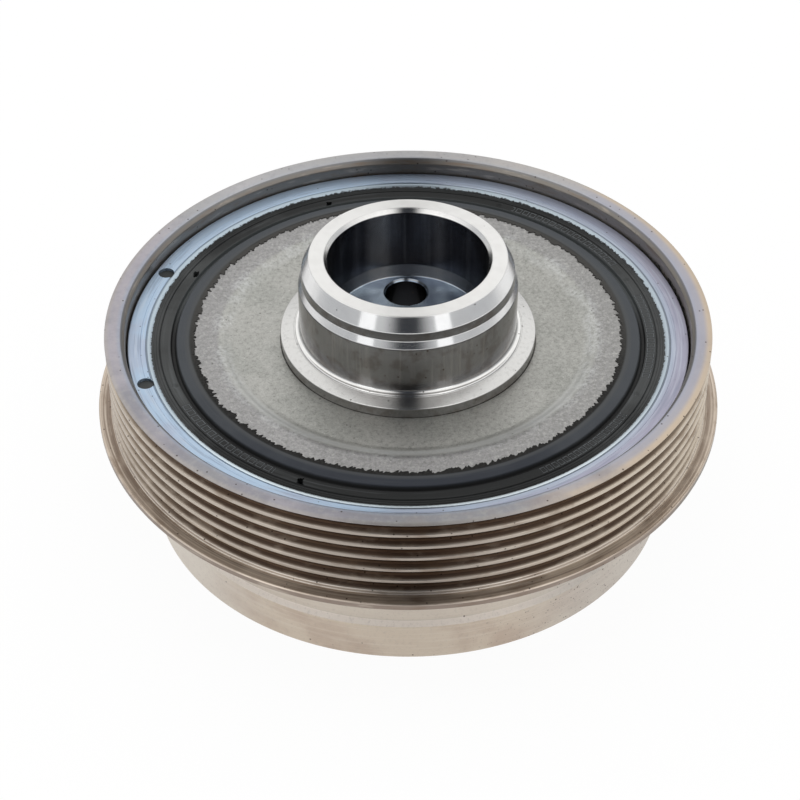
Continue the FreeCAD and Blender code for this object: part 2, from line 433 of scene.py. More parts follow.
# what is of one kind among the vertices, edges and faces that an operator gives back
def only(kind, geometry):
    return [item for item in geometry if isinstance(item, kind)]


def finishPiece(name, bm, material, node, cutter=None):
    piece = finishedObject(name, bm)
    if cutter:
        cutAway(piece, cutter)
    piece.data.shade_smooth()
    piece.data.set_sharp_from_angle(angle=math.radians(shapeSet["sharpAngle"]))
    weights = piece.modifiers.new("weights", "WEIGHTED_NORMAL")
    weights.keep_sharp = True
    settle(piece)
    dress(piece, material)
    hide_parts(node)
    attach(piece, bodyName)
    print(name, "made with", len(piece.data.polygons), "faces")


# the shallow arch on both faces of the damper rubber: the hub's rim and the inertia ring share it
archSet = {"middle": 19.0, "reach": 9.0, "rise": 1.3, "soft": 3.5}


def archCorners(radius):
    middle, reach, soft = archSet["middle"], archSet["reach"], archSet["soft"]
    return [
        (radius, middle + reach, soft),
        (radius + archSet["rise"], middle, soft),
        (radius, middle - reach, soft),
    ]


# Hub: one forging, turned bright

hubSet = {
    "steps": 256,
    "holeSteps": 48,
    "boreRadius": 19.7,
    "reliefHeight": 3.1,
    "floorRadius": 18.6,
    "floorHeight": 50.4,
    "noseTop": 70.4,
    "landStart": 20.6,
    "landEnd": 24.2,
    "neckRadius": 26.1,
    "neckTop": 66.85,
    "neckFoot": 64.5,
    "sealRadius": 27.0,
    "sealTop": 62.65,
    "flangeRadius": 31.8,
    "footTop": 49.72,
    "footGroove": ((28.05, 0.04, 0.1), (28.2, 0.28), (28.4, 0.28), (28.5, 0.36), (28.62, 0.34)),
    "flangeEdge": 48.52,
    "seatRadius": 38.0,
    "seatHeight": 43.45,
    "rimRadius": 42.5,
    "rimFoot": 4.0,
    "rimBore": 37.5,
    "webUnderside": 32.95,
    "pocketRadius": 21.0,
    "boltSeat": 38.4,
    "boltCircle": 24.0,
    "boltRadius": 5.25,
    "boltChamfer": 0.5,
    "boltCount": 4,
    "firstBolt": 92.0,
    "inset": 0.8,
}


def hubOutline():
    s = hubSet
    top, foot, seat, web = s["noseTop"], s["footTop"], s["seatHeight"], s["webUnderside"]
    groove = [(radius, foot - deep, *soft) for radius, deep, *soft in s["footGroove"]]
    return [
        (s["floorRadius"] - s["inset"], s["floorHeight"]),
        (s["floorRadius"], s["floorHeight"], 0.35),
        (s["boreRadius"], s["floorHeight"] + s["reliefHeight"], 0.2),
        (s["boreRadius"], top - 1.2, 0.15),
        (s["landStart"], top, 0.15),
        (s["landEnd"], top, 0.2),
        (s["neckRadius"], s["neckTop"], 0.25),
        (s["neckRadius"], s["neckFoot"], 0.25),
        (s["sealRadius"], s["sealTop"], 0.3),
        (s["sealRadius"], foot, 0.75),
        *groove,
        (s["flangeRadius"], s["flangeEdge"], 0.2),
        (s["flangeRadius"], seat),
        (s["seatRadius"], seat, 0.3),
        (s["rimRadius"], seat - 4.5, 1.6),
        *archCorners(s["rimRadius"]),
        (s["rimRadius"], s["rimFoot"] + 0.4),
        (s["rimRadius"] - 0.4, s["rimFoot"]),
        (s["rimBore"], s["rimFoot"], 0.4),
        (s["rimBore"] - 1.0, web, 3.0),
        (s["pocketRadius"] + 1.0, web, 0.4),
        (s["pocketRadius"], s["boltSeat"], 0.4),
        (s["pocketRadius"] - s["inset"], s["boltSeat"]),
    ]


# the bore's floor and the bolt seat are flat faces round four holes, joined through the web
def hubHoles(bm, outer, height, radius):
    rims = []
    filled = list(outer)
    for i in range(hubSet["boltCount"]):
        angle = hubSet["firstBolt"] + i * 360 / hubSet["boltCount"]
        centre = polar(hubSet["boltCircle"] / 2, angle, height) * mm
        made = bmesh.ops.create_circle(bm, cap_ends=False, radius=radius * mm, segments=hubSet["holeSteps"],
                                       matrix=Matrix.Translation(centre))
        rim = {edge for vert in made["verts"] for edge in vert.link_edges}
        rims.append(sorted(rim, key=lambda edge: edge.verts[0].index))
        filled += rims[-1]
    bmesh.ops.triangle_fill(bm, use_beauty=True, use_dissolve=False, edges=filled)
    return rims


def makeHub(material):
    s = hubSet
    bm = turned(hubOutline(), s["steps"], closed=False)
    ends = [edge for edge in bm.edges if edge.is_boundary]
    between = (s["floorHeight"] + s["boltSeat"]) / 2 * mm
    floorEnd = [edge for edge in ends if edge.verts[0].co.z > between]
    seatEnd = [edge for edge in ends if edge.verts[0].co.z < between]
    mouthRadius = s["boltRadius"] + s["boltChamfer"]
    shrink = s["boltRadius"] / mouthRadius
    mouths = hubHoles(bm, floorEnd, s["floorHeight"], mouthRadius)
    feet = hubHoles(bm, seatEnd, s["boltSeat"], s["boltRadius"])
    for mouth, foot in zip(mouths, feet):
        throat = bmesh.ops.extrude_edge_only(bm, edges=mouth)["geom"]
        verts = only(bmesh.types.BMVert, throat)
        centre = sum((vert.co for vert in verts), Vector()) / len(verts)
        bmesh.ops.scale(bm, vec=(shrink, shrink, 1), verts=verts, space=Matrix.Translation(-centre))
        bmesh.ops.translate(bm, vec=(0, 0, -s["boltChamfer"] * mm), verts=verts)
        edges = only(bmesh.types.BMEdge, throat)
        lower = [edge for edge in edges if all(vert in verts for vert in edge.verts)]
        bmesh.ops.bridge_loops(bm, edges=lower + foot)
    bmesh.ops.recalc_face_normals(bm, faces=list(bm.faces))
    finishPiece("hubForging", bm, material, "hub")


# Plate: pressed over the flange, stepped up, turned down at its rim

plateSet = {
    "steps": 256,
    "bore": 31.8,
    "stepStart": 44.0,
    "stepEnd": 47.0,
    "rim": 57.0,
    "sheet": 2.5,
    "top": 47.7,
    "flat": 45.95,
    "base": 38.3,
    "stepRound": 1.7,
    "rimRound": 3.4,
    "innerRound": 1.0,
    "roundSegments": 8,
}


def makePlate(material):
    s = plateSet
    sheet = s["sheet"]
    bm = turned([
        (s["bore"], s["flat"], 0.25),
        (s["stepStart"], s["flat"], s["stepRound"]),
        (s["stepEnd"], s["top"], s["stepRound"]),
        (s["rim"], s["top"], s["rimRound"]),
        (s["rim"], s["base"]),
        (s["rim"] - sheet, s["base"]),
        (s["rim"] - sheet, s["top"] - sheet, s["innerRound"]),
        (s["stepEnd"], s["top"] - sheet, s["innerRound"]),
        (s["stepStart"], s["flat"] - sheet, s["innerRound"]),
        (s["bore"], s["flat"] - sheet),
    ], s["steps"], segments=s["roundSegments"])
    finishPiece("carrierPlate", bm, material, "decoupler_plate")


# Decoupler rubber: a torn skin over the plate, then ridge, valley, marking band and lip

rubberSet = {
    "steps": 1080,
    "quickSteps": 360,
    "plateTop": 47.7,
    "plateRound": (2.6, 1.0),
    "plateEdge": 55.6,
    "skinTop": 47.9,
    "skinStart": 54.2,
    "skinEnd": 54.7,
    "ridgeStart": 55.0,
    "ridgeEnd": 57.6,
    "ridgeFoot": 47.5,
    "valley": 58.1,
    "valleyEnd": 58.85,
    "valleyHeight": 46.3,
    "bandStart": 59.1,
    "bandEnd": 61.65,
    "bandHeight": 47.15,
    "bandRings": (59.3, 0.25, 9),
    "lipGroove": (61.88, 0.4),
    "lipStart": 62.1,
    "lipBeads": ((62.6, 0.02), (62.7, 0.12), (62.8, 0.04), (63.2, 0.06), (63.3, 0.16), (63.4, 0.1)),
    "lipEnd": 63.75,
    "lipHeight": 47.0,
    "underRing": 46.1,
    "sleeveBore": 68.15,
    "sleeveSlope": 2.0,
    "floor": 39.3,
    "arch": 2.7,
    "archRound": 3.5,
    "plateBore": 57.0,
    "teeth": ((12, 0.5), (46, 0.75), (125, 0.95)),
    "torn": 1.1,
    "tornLeast": 0.15,
    "toothSlant": 0.35,
    "station": 20.5,
    "stations": 8,
    "notched": (2, 3, 5),
    "dimpled": (0, 1, 4, 7),
    "markRadius": 60.2,
    "notch": (1.4, 2.4, 2.2),
    "notchShift": -0.8,
    "dimple": (0.55, 0.85, 0.3),
    "plugRadius": 2.04,
    "plugFoot": 45.3,
    "plugTop": 46.9,
    "roundSegments": 4,
}


def rubberOutline():
    s = rubberSet
    band = s["bandHeight"]
    down, plateRound = s["plateRound"]
    groove, grooveDepth = s["lipGroove"]
    first, apart, count = s["bandRings"]
    rings = [(first + i * apart, band) for i in range(count)]
    beads = [(radius, band - deep) for radius, deep in s["lipBeads"]]
    return [
        (s["plateBore"], s["floor"]),
        (s["plateBore"], s["plateTop"] - down, plateRound),
        (s["plateEdge"], s["plateTop"], 0.6),
        (s["skinStart"], s["plateTop"]),
        (s["skinStart"], s["skinTop"], 0.12),
        (s["skinEnd"], s["skinTop"]),
        (s["ridgeStart"], s["skinTop"], 0.25),
        (s["ridgeEnd"], s["ridgeFoot"], 0.25),
        (s["valley"], s["valleyHeight"], 0.2),
        (s["valleyEnd"], s["valleyHeight"], 0.1),
        (s["bandStart"], band, 0.15),
        *rings,
        (s["bandEnd"], band, 0.05),
        (groove, band - grooveDepth, 0.08),
        (s["lipStart"], band, 0.08),
        *beads,
        (s["lipEnd"], s["lipHeight"]),
        (s["lipEnd"], s["underRing"]),
        (s["sleeveBore"] - s["sleeveSlope"], s["underRing"]),
        (s["sleeveBore"], s["underRing"] - s["sleeveSlope"]),
        (s["sleeveBore"], s["floor"]),
        ((s["plateBore"] + s["sleeveBore"]) / 2, s["floor"] + s["arch"], s["archRound"]),
    ]


# the skin's inner edge is ragged, in slanted teeth of three sizes
def fraySkin(bm):
    s = rubberSet
    for vert in bm.verts:
        radius = vert.co.xy.length / mm
        if radius < s["skinStart"] + 0.2:
            way = Vector((vert.co.x, vert.co.y, 0)).normalized()
            teeth = sum(size * noise.noise(way * rate) for rate, size in s["teeth"])
            depth = max(s["tornLeast"], s["torn"] + teeth)
            along = Vector((-way.y, way.x, 0))
            way = way * (radius - depth) + along * (depth - s["torn"]) * s["toothSlant"]
            vert.co.x = way.x * mm
            vert.co.y = way.y * mm


# the marks of the mould stand evenly round the band: upright notches at some, dimples at others
def sinkStations(bm):
    s = rubberSet
    for i in range(s["stations"]):
        angle = s["station"] + i * 360 / s["stations"]
        place = polar(s["markRadius"], angle, s["bandHeight"])
        if i in s["notched"]:
            sinkNotch(bm, place, *s["notch"])
        if i in s["dimpled"]:
            sinkDimple(bm, place, *s["dimple"])


def sinkNotch(bm, place, width, length, depth):
    faces = []
    for face in bm.faces:
        away = face.calc_center_median() / mm - place
        inside = abs(away.x) < width / 2 and abs(away.y - rubberSet["notchShift"]) < length / 2
        if inside and abs(away.z) < 0.01:
            faces.append(face)
    sunk = bmesh.ops.extrude_face_region(bm, geom=faces)["geom"]
    bmesh.ops.delete(bm, geom=faces, context="FACES")
    bmesh.ops.translate(bm, vec=(0, 0, -depth * mm), verts=only(bmesh.types.BMVert, sunk))


def sinkDimple(bm, place, inner, outer, depth):
    for vert in bm.verts:
        away = (vert.co / mm - place).length
        if away < outer:
            share = min(1, (outer - away) / (outer - inner))
            vert.co.z -= depth * share * mm


def makeRubber(material):
    s = rubberSet
    bm = bmesh.new()
    addOutline(bm, rubberOutline(), True, s["roundSegments"])
    steps = s["steps"]
    halfStep = Matrix.Rotation(math.pi / steps, 3, "Z")
    bmesh.ops.rotate(bm, cent=(0, 0, 0), matrix=halfStep, verts=list(bm.verts))
    turnOutline(bm, steps)
    fraySkin(bm)
    sinkStations(bm)
    for angle in ringSet["holeAngles"]:
        addPeg(bm, s["plugRadius"], polar(ringSet["holeCircle"], angle), s["plugFoot"], s["plugTop"])
    finishPiece("decouplerRubber", bm, material, "decoupler_rubber")


# Zinc-plated ring, drawn and pressed into the pulley

ringSet = {
    "steps": 256,
    "inner": 63.75,
    "edge": 47.08,
    "edgeSteps": (
        (64.3, 0.18, 0.3), (64.9, 0.14, 0.1), (65.0, 0.34), (65.2, 0.32), (65.42, 0.03, 0.1),
        (66.5, 0.02), (66.56, 0.07), (66.62, 0.0),
    ),
    "outer": 69.75,
    "top": 47.7,
    "sheet": 1.6,
    "base": 38.3,
    "bore": 68.15,
    "holeCircle": 66.9,
    "holeRadius": 2.05,
    "holeAngles": (158.9, 198.1),
    "drillRoom": 1.0,
}


def makeRing(material):
    s = ringSet
    under = s["top"] - s["sheet"]
    steps = [(radius, s["top"] - deep, *soft) for radius, deep, *soft in s["edgeSteps"]]
    bm = turned([
        (s["inner"], s["edge"], 0.12),
        *steps,
        (s["outer"], s["top"], 0.3),
        (s["outer"], s["base"]),
        (s["bore"], s["base"]),
        (s["bore"], under, 1.6),
        (s["inner"], under),
    ], s["steps"])
    drill = bmesh.new()
    for angle in s["holeAngles"]:
        middle = polar(s["holeCircle"], angle)
        addPeg(drill, s["holeRadius"], middle, under - s["drillRoom"], s["top"] + s["drillRoom"])
    finishPiece("platedRing", bm, material, "decoupler_ring", cutter=drill)


# Pulley: six belt grooves and a lip

pulleySet = {
    "steps": 256,
    "mouth": 70.2,
    "mouthBevel": 1.3,
    "landStart": 71.2,
    "landEnd": 74.3,
    "landDrop": 0.18,
    "crest": 75.1,
    "lip": 78.44,
    "rimTop": 51.9,
    "firstGroove": 50.2,
    "pitch": 3.56,
    "grooves": 6,
    "crestWidth": 0.9,
    "crestRound": 0.18,
    "firstRound": 0.08,
    "rootRound": 0.75,
    "angle": 40.0,
    "base": 28.4,
    "lipTop": 30.2,
    "bushSeat": 67.95,
    "bushTop": 36.8,
    "shoulder": 66.2,
    "sleeveFoot": 38.3,
    "sleeveSeat": 69.75,
    "sleeveTop": 43.5,
    "mouthFoot": 43.95,
}


def pulleyOutline():
    s = pulleySet
    half = (s["pitch"] - s["crestWidth"]) / 2
    apex = s["crest"] - half / math.tan(math.radians(s["angle"] / 2))
    top = s["rimTop"]
    corners = [
        (s["mouth"], top - s["mouthBevel"], 0.25),
        (s["landStart"], top, 0.45),
        (s["landEnd"], top, 0.3),
        (s["crest"], top - s["landDrop"], 0.05),
    ]
    for i in range(s["grooves"]):
        centre = s["firstGroove"] - i * s["pitch"]
        corners.append((s["crest"], centre + half, s["crestRound"] if i else s["firstRound"]))
        corners.append((apex, centre, s["rootRound"]))
        corners.append((s["crest"], centre - half, s["crestRound"]))
    return corners + [
        (s["crest"], s["lipTop"], 0.25),
        (s["lip"], s["lipTop"], 0.3),
        (s["lip"], s["base"], 0.4),
        (s["bushSeat"], s["base"], 0.3),
        (s["bushSeat"], s["bushTop"]),
        (s["shoulder"], s["bushTop"]),
        (s["shoulder"], s["sleeveFoot"]),
        (s["sleeveSeat"], s["sleeveFoot"]),
        (s["sleeveSeat"], s["sleeveTop"]),
        (s["mouth"], s["mouthFoot"]),
    ]


def makePulley(material):
    bm = turned(pulleyOutline(), pulleySet["steps"])
    finishPiece("beltPulley", bm, material, "pulley")


# Inertia ring: cast iron, turned outside

inertiaSet = {
    "steps": 256,
    "bore": 46.0,
    "guide": 65.4,
    "guideFoot": 11.6,
    "skirt": 66.5,
    "skirtHeight": 10.4,
    "top": 36.3,
    "edgeRound": 0.4,
}


def makeInertiaRing(material):
    s = inertiaSet
    bm = turned([
        (s["bore"], s["top"], s["edgeRound"]),
        (s["guide"], s["top"], s["edgeRound"]),
        (s["guide"], s["guideFoot"], 0.3),
        (s["skirt"], s["skirtHeight"], 0.1),
        (s["skirt"], 0, s["edgeRound"]),
        (s["bore"], 0, s["edgeRound"]),
        *reversed(archCorners(s["bore"])),
    ], s["steps"])
    finishPiece("inertiaRing", bm, material, "inertia_ring")


# Finishes. The first entries of each dictionary are zones: the two ends of a smooth step, or both
# edges of a band and their softness, as radii or heights in millimetres or as angles in degrees.
# The others are tints: a colour, or how much of it covers what lies under it and then the colour.

turnedShader = {"Metallic": 1.0, "Anisotropic": 0.85, "Anisotropic Rotation": 0.25}

hubFinish = {
    "boreWall": (20.0, 20.3),
    "boreMouth": (69.2, 69.4),
    "holeTop": (49.75, 49.95),
    "holeRim": (50.1, 50.36, 0.03),
    "floorTop": (50.42, 50.6),
    "reliefTop": (53.3, 53.6),
    "journal": (25.9, 27.1, 0.1),
    "journalHeight": (50.3, 62.7, 0.2),
    "neck": (25.9, 26.3, 0.1),
    "neckHeight": (64.6, 66.7, 0.1),
    "edge": (31.7, 31.75),
    "edgeHeight": (48.2, 48.5),
    "noseTop": (70.1, 70.3),
    "flange": (28.0, 28.4),
    "flangeHeight": (48.3, 48.55),
    "leftGleam": (104, 121, 5),
    "rightGleam": (62, 70, 5),
    "bright": (0.80, 0.80, 0.795),
    "clouds": (0.12, (0.5, 0.49, 0.48)),
    "wall": (0.27, 0.265, 0.26),
    "dullWall": (0.21, 0.195, 0.185),
    "flangeTint": (0.8, (0.60, 0.60, 0.595)),
    "flangeStains": (0.3, (0.38, 0.375, 0.37)),
    "bore": (0.07, 0.073, 0.085),
    "boreGleam": (0.42, 0.42, 0.43),
    "boreStains": (0.4, (0.05, 0.05, 0.055)),
    "relief": (0.28, 0.30, 0.33),
    "reliefGleam": (0.52, 0.52, 0.52),
    "floor": (0.32, 0.39, 0.50),
    "floorGleam": (0.62, 0.74, 0.86),
    "holeRimTint": (1.0, (0.35, 0.37, 0.40)),
    "hole": (1.0, (0.02, 0.021, 0.024)),
    "specks": (0.75, (0.05, 0.04, 0.035)),
    "rust": (0.8, (0.08, 0.045, 0.03)),
    "wearAndSheen": (0.35, (0.42, 0.40, 0.38)),
}


def machinedSteel():
    s = hubFinish
    f = Finish("machinedSteel", turnedShader)
    lines = f.turning(0.12)
    cloud = f.noise(0.3, 3.0)
    inside = f.fall(f.radius, *s["boreWall"]) * f.fall(f.z, *s["boreMouth"])
    journal = f.band(f.radius, *s["journal"]) * f.band(f.z, *s["journalHeight"])
    neck = f.band(f.radius, *s["neck"]) * f.band(f.z, *s["neckHeight"])
    edge = f.rise(f.radius, *s["edge"]) * f.fall(f.z, *s["edgeHeight"])
    top = f.rise(f.z, *s["noseTop"])
    flange = f.rise(f.radius, *s["flange"]) * f.rise(f.z, *s["flangeHeight"])
    base = f.coat(s["bright"], f.rise(cloud, 0.4, 0.7), *s["clouds"])
    # the upright walls (journal, neck and flange edge) take a darker copy of the steel: painted shade
    walls = f.mix(f.rise(cloud, 0.45, 0.65), s["wall"], s["dullWall"])
    base = f.mix(f.maximum(journal, neck, edge), base, walls)
    base = f.coat(base, flange, *s["flangeTint"])
    stains = f.rise(f.noise(0.8, 4.0, 0.7, shift=14.0), 0.5, 0.7)
    base = f.coat(base, stains * flange, *s["flangeStains"])
    # two upright bands and upright streaks of painted highlight on the bore's wall
    streaks = f.rise(f.upright(2.0, 60.0, hubSet["boreRadius"], 4.0), 0.42, 0.62) * 0.22
    left = f.band(f.angle, *s["leftGleam"]) * 0.8
    right = f.band(f.angle, *s["rightGleam"]) * 0.35
    gleam = f.maximum(left, right, streaks)
    # the bore's wall is dark for painted shade, under the painted highlights
    bore = f.mix(gleam, s["bore"], s["boreGleam"])
    bore = f.coat(bore, f.rise(f.noise(0.9, 4.0, 0.7, shift=8.0), 0.45, 0.7), *s["boreStains"])
    # the relief ring is painted paler: a painted reflection
    relief = f.mix(gleam, s["relief"], s["reliefGleam"])
    bore = f.mix(f.fall(f.z, *s["reliefTop"]), bore, relief)
    # pale patches of painted reflection on the bluish floor of the bore
    floor = f.mix(f.rise(f.noise(0.11, 2.0, shift=2.0), 0.42, 0.6), s["floor"], s["floorGleam"])
    bore = f.mix(f.fall(f.z, *s["floorTop"]), bore, floor)
    # the holes are painted near-black and their chamfers darker: painted shade
    bore = f.coat(bore, f.band(f.z, *s["holeRim"]), *s["holeRimTint"])
    bore = f.coat(bore, f.fall(f.z, *s["holeTop"]), *s["hole"])
    base = f.mix(inside, base, bore)
    base = f.coat(base, f.specks(3.4, 0.5), *s["specks"])
    base = f.coat(base, f.specks(2.9, 0.6, 17.0) * journal, *s["rust"])
    # pale upright streaks on the journal: a painted reflection
    wearAndSheen = f.rise(f.upright(1.1, 40.0, hubSet["sealRadius"], 9.0), 0.5, 0.68)
    base = f.coat(base, wearAndSheen * journal, *s["wearAndSheen"])
    lines = lines * (1 - inside)
    rough = 0.11 + lines * 0.07 + top * 0.2 + flange * 0.04 + inside * 0.13 + cloud * 0.03
    return f.wear(Base_Color=base, Roughness=rough, Normal=f.bump(lines, 0.12, 0.01))


plateFinish = {
    "outer": (46.5, 48.0),
    "step": (44.0, 46.8, 0.6),
    "rubbedRing": (44.6, 48.5, 1.2),
    "blasted": (0.385, 0.39, 0.37),
    "paleBlasted": (0.45, 0.45, 0.43),
    "outerTint": (0.8, (0.325, 0.32, 0.33)),
    "rightTint": (0.25, (0.27, 0.27, 0.25)),
    "paleMottle": (0.55, (0.56, 0.56, 0.54)),
    "darkMottle": (0.5, (0.19, 0.195, 0.18)),
    "pores": (0.45, (0.15, 0.15, 0.14)),
    "stepPaintedLight": (0.62, 0.63, 0.62),
    "wearAndSheen": (0.35, (0.68, 0.70, 0.72)),
    "specks": (0.7, (0.05, 0.045, 0.04)),
    "glints": (0.5, (0.8, 0.8, 0.78)),
}


def blastedSteel():
    s = plateFinish
    f = Finish("blastedSteel", {"Metallic": 0.85})
    grain = f.noise(3.2, 4.0, 0.7)
    mottle = f.noise(1.1, 5.0, 0.75, shift=47.0)
    blotch = f.noise(0.06, 3.0, 0.6, shift=12.0)
    base = f.mix(f.rise(blotch, 0.35, 0.65), s["blasted"], s["paleBlasted"])
    base = f.coat(base, f.rise(f.radius, *s["outer"]), *s["outerTint"])
    base = f.coat(base, f.rise(f.right, 0.2, 0.9), *s["rightTint"])
    base = f.coat(base, f.rise(mottle, 0.5, 0.68), *s["paleMottle"])
    base = f.coat(base, f.rise(mottle, 0.5, 0.34), *s["darkMottle"])
    base = f.coat(base, f.rise(grain, 0.5, 0.68), *s["pores"])
    step = f.band(f.radius, *s["step"])
    # the step is painted lighter, most at the front: painted light
    base = f.coat(base, step, 0.1 + f.rise(f.back, -0.2, -0.7) * 0.6, s["stepPaintedLight"])
    wearAndSheen = f.rise(f.noise(0.14, 3.0, 0.6, shift=31.0), 0.42, 0.6) * f.rise(mottle, 0.36, 0.6)
    base = f.coat(base, wearAndSheen * f.band(f.radius, *s["rubbedRing"]), *s["wearAndSheen"])
    base = f.coat(base, f.specks(4.5, 0.5, 5.0), *s["specks"])
    base = f.coat(base, f.specks(2.2, 0.35, 25.0), *s["glints"])
    return f.wear(Base_Color=base, Roughness=0.37 + grain * 0.13, Metallic=0.9 - step * 0.15,
                  Normal=f.bump(grain, 0.4, 0.05))


# small raised boxes in rows round the marking band: where each row starts and ends, in degrees, and
# its pitch, then the box's radii, and how its line runs in shares of the pitch
markSet = {
    "rows": [(-152.3, -121.0, 2.2), (-60.0, -32.0, 1.6), (-18.0, 14.0, 1.9), (27.0, 62.0, 2.0)],
    "inner": 59.45,
    "outer": 61.35,
    "line": 0.24,
    "side": (0.28, 0.37, 0.05),
    "end": (0.36, 0.4),
    "soft": 0.1,
    "rowSoft": 0.05,
}


def mouldedMarks(f):
    s = markSet
    inner, outer, line, soft = s["inner"], s["outer"], s["line"], s["soft"]
    rows = []
    for first, last, pitch in s["rows"]:
        cell = (f.angle - first) / pitch
        across = abs(f.maths("FRACT", cell) - 0.5)
        sides = f.band(across, *s["side"]) * f.band(f.radius, inner, outer, soft)
        ends = f.band(f.radius, inner, inner + line, soft) + f.band(f.radius, outer - line, outer, soft)
        box = f.maximum(sides, ends * f.fall(across, *s["end"]))
        rows.append(box * f.band(f.angle, first, last, s["rowSoft"]))
    return sum(rows)


rubberFinish = {
    "ridge": (54.6, 57.7, 0.2),
    "ridgeSlope": (54.7, 57.6),
    "skin": (54.1, 54.6),
    "valley": (57.8, 59.2, 0.2),
    "band": (59.1, 61.6, 0.2),
    "plain": (0.007, 0.008, 0.0085),
    "sideSheenTint": (0.044, 0.047, 0.048),
    "valleyBackLight": (1.0, (0.052, 0.058, 0.060)),
    "valleyFrontShade": (0.9, (0.003, 0.0035, 0.004)),
    "ridgeTint": (0.019, 0.023, 0.032),
    "ridgeSheen": (0.046, 0.052, 0.060),
    "ridgeStart": (0.5, (0.060, 0.062, 0.062)),
    "torn": (0.004, 0.0038, 0.0036),
    "paleTorn": (0.016, 0.0155, 0.0145),
    "tornBackLight": (0.5, (0.075, 0.073, 0.068)),
    "bandDustAndSheen": (0.075, 0.082, 0.085),
    "dust": (0.25, (0.07, 0.075, 0.08)),
    "marks": (0.125, 0.136, 0.146),
    "markRimShade": (0.95, (0.003, 0.004, 0.005)),
}


def mouldedRubber():
    s = rubberFinish
    f = Finish("mouldedRubber", {"Metallic": 0.0, "Specular IOR Level": 0.26})
    grain = f.noise(4.0, 3.0, 0.6)
    film = f.noise(0.07, 3.0, 0.6, shift=27.0)
    dust = f.swept(0.7, 0.35, 3.0)
    marks = mouldedMarks(f)
    ridge = f.band(f.radius, *s["ridge"])
    skin = f.fall(f.radius, *s["skin"])
    band = f.band(f.radius, *s["band"])
    valley = f.band(f.radius, *s["valley"])
    # painted sheen: the rubber is painted paler towards the sides, and the ridge towards the sides and the
    # back
    backSideSheen = f.rise(f.side * 0.7 + f.back * 0.45 + (film - 0.5) * 1.2, -0.35, 0.75)
    sideSheen = f.rise(f.side + (film - 0.5) * 0.8, 0.58, 1.05)
    base = f.mix(sideSheen, s["plain"], s["sideSheenTint"])
    # the valley is painted paler behind the axis and near-black in front: painted light and painted shade
    base = f.coat(base, valley * f.rise(f.back, -0.1, 0.3), *s["valleyBackLight"])
    base = f.coat(base, valley * f.rise(f.back, 0.25, -0.05), *s["valleyFrontShade"])
    slope = f.rise(f.radius, *s["ridgeSlope"])
    ridges = f.mix(backSideSheen, s["ridgeTint"], s["ridgeSheen"])
    # the ridge is painted paler where its slope starts: painted light on its upper edge
    ridges = f.coat(ridges, f.fall(slope, 0.0, 0.35), *s["ridgeStart"])
    base = f.mix(ridge, base, ridges)
    comb = f.noise(2.2, 4.0, 0.75, shift=9.0)
    torn = f.mix(f.rise(comb, 0.42, 0.62), s["torn"], s["paleTorn"])
    # the torn skin is painted paler behind the axis: painted light
    torn = f.coat(torn, f.rise(f.back, -0.5, 0.3), *s["tornBackLight"])
    base = f.mix(skin, base, torn)
    # dust on the band, laid thicker towards the sides with the painted sheen
    base = f.coat(base, f.rise(dust, 0.5, 0.75) * band, 0.2 + sideSheen * 0.4, s["bandDustAndSheen"])
    base = f.coat(base, f.rise(dust, 0.5, 0.8) * (1 - skin) * (1 - valley), *s["dust"])
    # the raised marks are painted paler, more with the painted sheen, and their rims darker: painted light
    # and painted shade
    base = f.coat(base, f.rise(marks, 0.4, 0.9), 0.55 + backSideSheen * 0.4, s["marks"])
    base = f.coat(base, f.band(marks, 0.12, 0.5, 0.08), *s["markRimShade"])
    rough = 0.44 + grain * 0.2 + skin * 0.15
    under = f.bump(grain, 0.6, 0.03)
    return f.wear(Base_Color=base, Roughness=rough, Normal=f.bump(marks, 0.9, 0.2, under))


ringFinish = {
    "face": (65.6, 67.4),
    "outerFace": (65.5, 67.0),
    "innerEdge": (65.1, 65.3),
    "groove": (64.95, 65.3, 0.05),
    "film": (64.66, 64.78),
    "blue": (0.42, 0.54, 0.69),
    "violet": (0.37, 0.365, 0.46),
    "violetClouds": (0.4, (0.40, 0.41, 0.51)),
    "innerBlue": (0.6, (0.42, 0.50, 0.60)),
    "paleStreaks": (0.32, (0.58, 0.64, 0.72)),
    "darkStreaks": (0.35, (0.19, 0.23, 0.31)),
    "edge": (0.46, 0.54, 0.59),
    "edgeFrontHighlight": (0.78, 0.87, 0.91),
    "backLightAndShade": (0.35, (0.31, 0.40, 0.53)),
    "grooveTint": (0.6, (0.14, 0.16, 0.18)),
    "filmTint": (1.0, (0.03, 0.032, 0.035)),
    "specks": (0.8, (0.06, 0.055, 0.05)),
}


